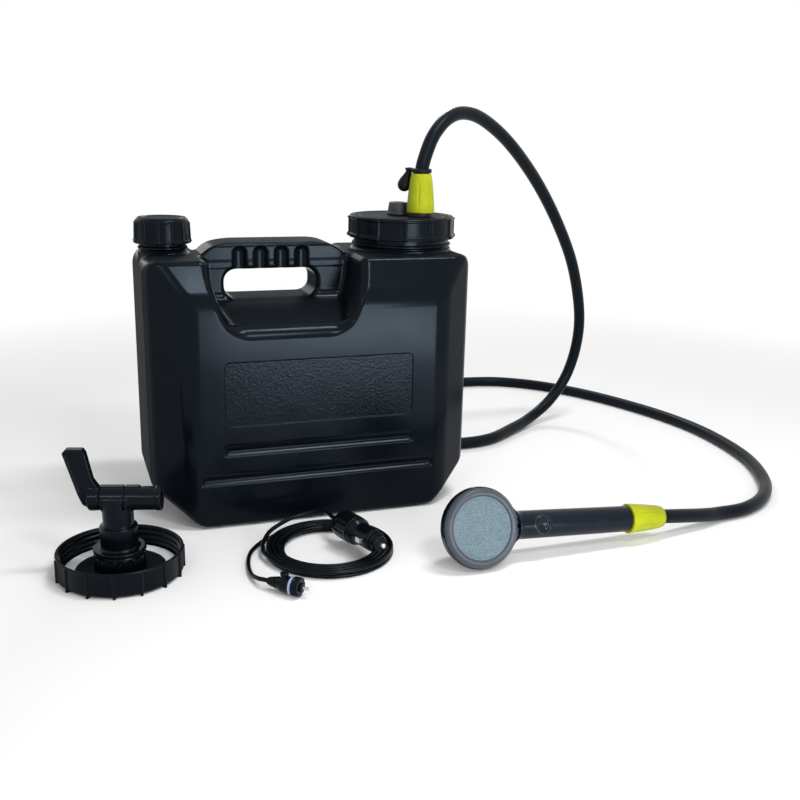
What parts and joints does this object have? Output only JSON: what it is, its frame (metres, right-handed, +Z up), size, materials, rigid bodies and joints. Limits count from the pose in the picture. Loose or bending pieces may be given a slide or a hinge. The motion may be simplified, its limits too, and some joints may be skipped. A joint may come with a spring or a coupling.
{
  "type": "camp shower pump",
  "caption": "Camp shower kit: black water carrier with a submersible pump under its lid, hose with hand shower, spare lid with tap, coiled lead with car plug.",
  "frame": {"origin": "centre of the carrier's base, on the ground", "axes": "+Z up, -Y towards the front of the carrier, +X towards the pump lid"},
  "size_m": [0.8241, 0.6294, 0.4109],
  "materials": {
    "carrier_plastic": "fine-grained black polyethylene",
    "lid_plastic": "smooth black",
    "tap_plastic": "black, soft sheen",
    "grey_plastic": "mid grey",
    "yellow_plastic": "acid yellow-green",
    "handset_plastic": "dark grey, satin",
    "bezel_plastic": "grey, satin",
    "spray_face": "speckled grey-green",
    "pump_plastic": "dark grey",
    "hose_rubber": "dark, satin",
    "black_rubber": "matte",
    "white_rubber": "white",
    "lead_sheath": "black, satin",
    "pale_plastic": "pale blue-white",
    "steel": "bright",
    "brass": "plain",
    "copper": "copper and lacquered wire",
    "ceramic": "off-white fuse body"
  },
  "bodies": {
    "carrier": {"carrier_body": "carrier_plastic", "hose": "hose_rubber", "handset_body": "handset_plastic", "head_bezel": "bezel_plastic", "spray_plate": "spray_face", "spray_gasket": "black_rubber", "button_spring": "steel", "handset_barb": "handset_plastic", "tap_lid": "lid_plastic", "tap_gasket": "white_rubber", "tap_washer": "black_rubber", "tap_nut": "tap_plastic", "tap_body": "tap_plastic", "lead_coil": "lead_sheath", "lead_tail": "lead_sheath", "plug_strand": "lead_sheath", "plug_body": "lead_sheath", "plug_ring": "lead_sheath", "plug_contacts": "steel", "plug_fuse": "ceramic", "tip_spring": "steel", "connector_body": "lead_sheath", "connector_ring": "pale_plastic", "connector_pin": "steel"},
    "fill_cap_lift": {"fill_cap_seal": "black_rubber"},
    "fill_cap": {"fill_cap": "lid_plastic"},
    "pump_lid_lift": {"pump_lid_seal": "black_rubber"},
    "pump_lid": {"pump_lid": "lid_plastic", "power_socket": "grey_plastic", "socket_pin": "steel", "socket_gasket": "black_rubber", "socket_nut": "brass", "hose_spigot": "pump_plastic", "spigot_gasket": "black_rubber", "spigot_nut": "pump_plastic", "inner_hose": "hose_rubber", "pump_cable": "lead_sheath", "pump_cap": "pump_plastic", "pump_housing": "pump_plastic", "motor_can": "steel", "motor_cap": "pump_plastic", "motor_magnets": "steel", "motor_brushes": "copper", "motor_bushes": "brass", "shaft_seal": "black_rubber", "inlet_plate": "pump_plastic", "strainer": "pump_plastic", "pump_screws": "steel"},
    "pump_rotor": {"armature": "copper", "motor_shaft": "steel", "commutator": "copper", "impeller": "pump_plastic"},
    "lid_collar": {"lid_collar": "yellow_plastic"},
    "dust_plug": {"dust_plug": "black_rubber"},
    "pause_button": {"pause_button": "handset_plastic"},
    "handset_collar": {"handset_collar": "yellow_plastic"},
    "tap_plug": {"tap_plug": "tap_plastic", "tap_rings": "black_rubber"},
    "plug_tip": {"plug_tip": "steel"},
    "connector_nut": {"connector_nut": "lead_sheath"}
  },
  "joints": [
    {"name": "fill_cap_lift", "type": "slide", "parent": "carrier", "child": "fill_cap_lift", "axis": [0, 0, 1], "range_m": [0, 0.0063]},
    {"name": "fill_cap_turn", "type": "hinge", "parent": "fill_cap_lift", "child": "fill_cap", "pos_m": [-0.14, 0, 0.29], "axis": [0, 0, 1], "range_deg": [0, 450]},
    {"name": "pump_lid_lift", "type": "slide", "parent": "carrier", "child": "pump_lid_lift", "axis": [0, 0, 1], "range_m": [0, 0.0005]},
    {"name": "pump_lid_turn", "type": "hinge", "parent": "pump_lid_lift", "child": "pump_lid", "pos_m": [0.108, 0, 0.29], "axis": [0, 0, 1], "range_deg": [0, 30], "deforming": ["hose"]},
    {"name": "pump_rotor_turn", "type": "hinge", "parent": "pump_lid", "child": "pump_rotor", "pos_m": [0.113, -0.012, 0.08], "axis": [0, 0, 1], "continuous": true},
    {"name": "lid_collar_turn", "type": "hinge", "parent": "pump_lid", "child": "lid_collar", "pos_m": [0.12, -0.024, 0.31], "axis": [0, 0, 1], "continuous": true},
    {"name": "dust_plug_turn", "type": "hinge", "parent": "pump_lid", "child": "dust_plug", "pos_m": [0.12, -0.024, 0.345], "axis": [0, 0, 1], "continuous": true},
    {"name": "pause_button_press", "type": "slide", "parent": "carrier", "child": "pause_button", "axis": [-0.0382, 0.9505, -0.3083], "range_m": [0, 0.003], "stiffness_N_per_m": 200, "springref_m": -0.003, "deforming": ["button_spring"]},
    {"name": "handset_collar_turn", "type": "hinge", "parent": "carrier", "child": "handset_collar", "pos_m": [0.26758, -0.2242, 0.02487], "axis": [0.9974, 0.0174, -0.0698], "continuous": true},
    {"name": "tap_turn", "type": "hinge", "parent": "carrier", "child": "tap_plug", "pos_m": [-0.204, -0.15, 0.07], "axis": [0.9613, -0.2756, 0], "range_deg": [0, 90]},
    {"name": "plug_tip_press", "type": "slide", "parent": "carrier", "child": "plug_tip", "axis": [-0.309, 0.9511, 0], "range_m": [0, 0.0025], "stiffness_N_per_m": 300, "springref_m": -0.002, "deforming": ["tip_spring"]},
    {"name": "connector_nut_turn", "type": "hinge", "parent": "carrier", "child": "connector_nut", "pos_m": [-0.087, -0.223, 0.0087], "axis": [0.7431, -0.6691, 0], "continuous": true}
  ],
  "couplings": [
    {"joint": "fill_cap_lift", "follows": "fill_cap_turn", "m_per_rad": 0.00079577},
    {"joint": "pump_lid_lift", "follows": "pump_lid_turn", "m_per_rad": 0.00079577}
  ]
}
